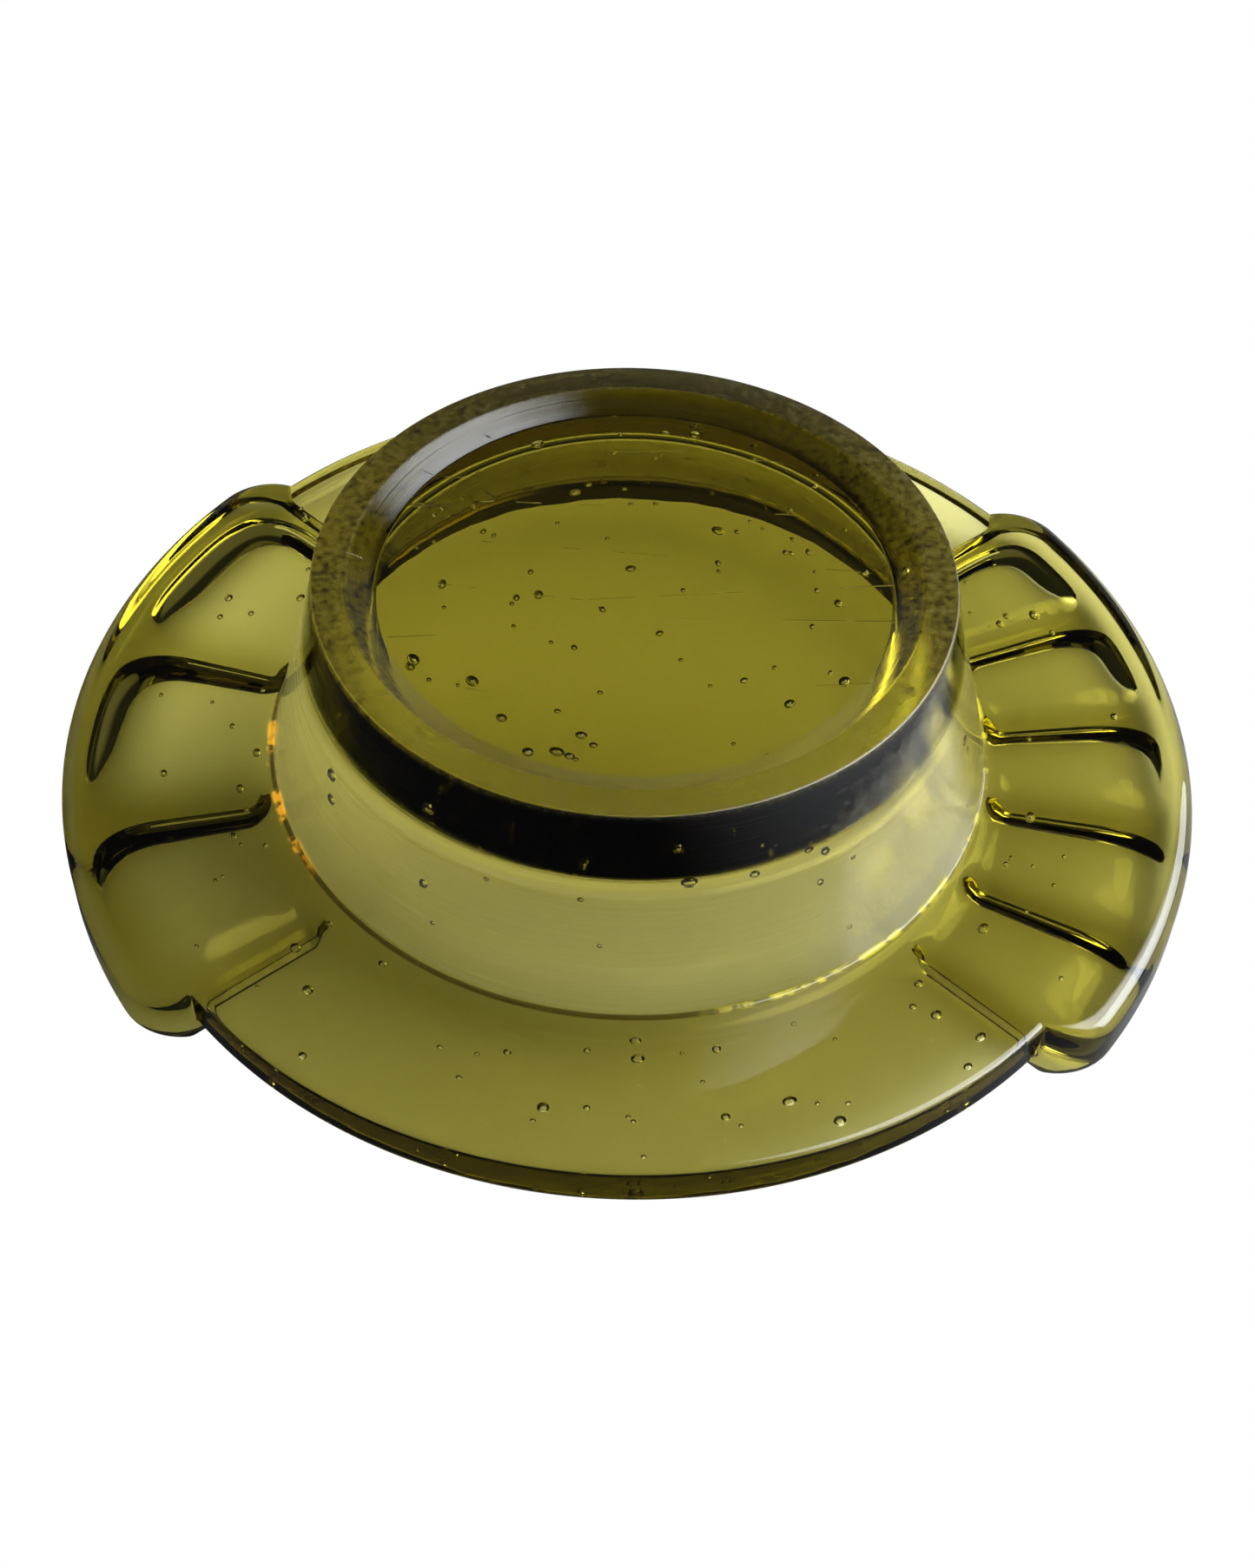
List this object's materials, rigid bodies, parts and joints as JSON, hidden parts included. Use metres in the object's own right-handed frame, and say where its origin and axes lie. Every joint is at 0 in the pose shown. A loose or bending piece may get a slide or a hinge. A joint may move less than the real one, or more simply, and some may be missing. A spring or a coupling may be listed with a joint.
{
  "type": "glass dish",
  "caption": "Round pressed-glass dish with a conical bowl, a hollow foot ring and a wide rim that carries two raised fans of flutes.",
  "frame": {"origin": "on the dish's axis, in the plane of the fans' faces, which the turned-over dish rests on", "axes": "+Z along the dish's axis towards the foot ring, +X through the middle of the five-flute fan, +Y through the middle of a plain stretch of rim; turn the part half a turn about X to stand it on its foot"},
  "size_m": [0.163, 0.1502, 0.042],
  "materials": {
    "olive_glass": "clear, fire polished, with seed bubbles; ground on the foot ring"
  },
  "bodies": {
    "root": {"pressed_glass_dish": "olive_glass"}
  },
  "joints": []
}
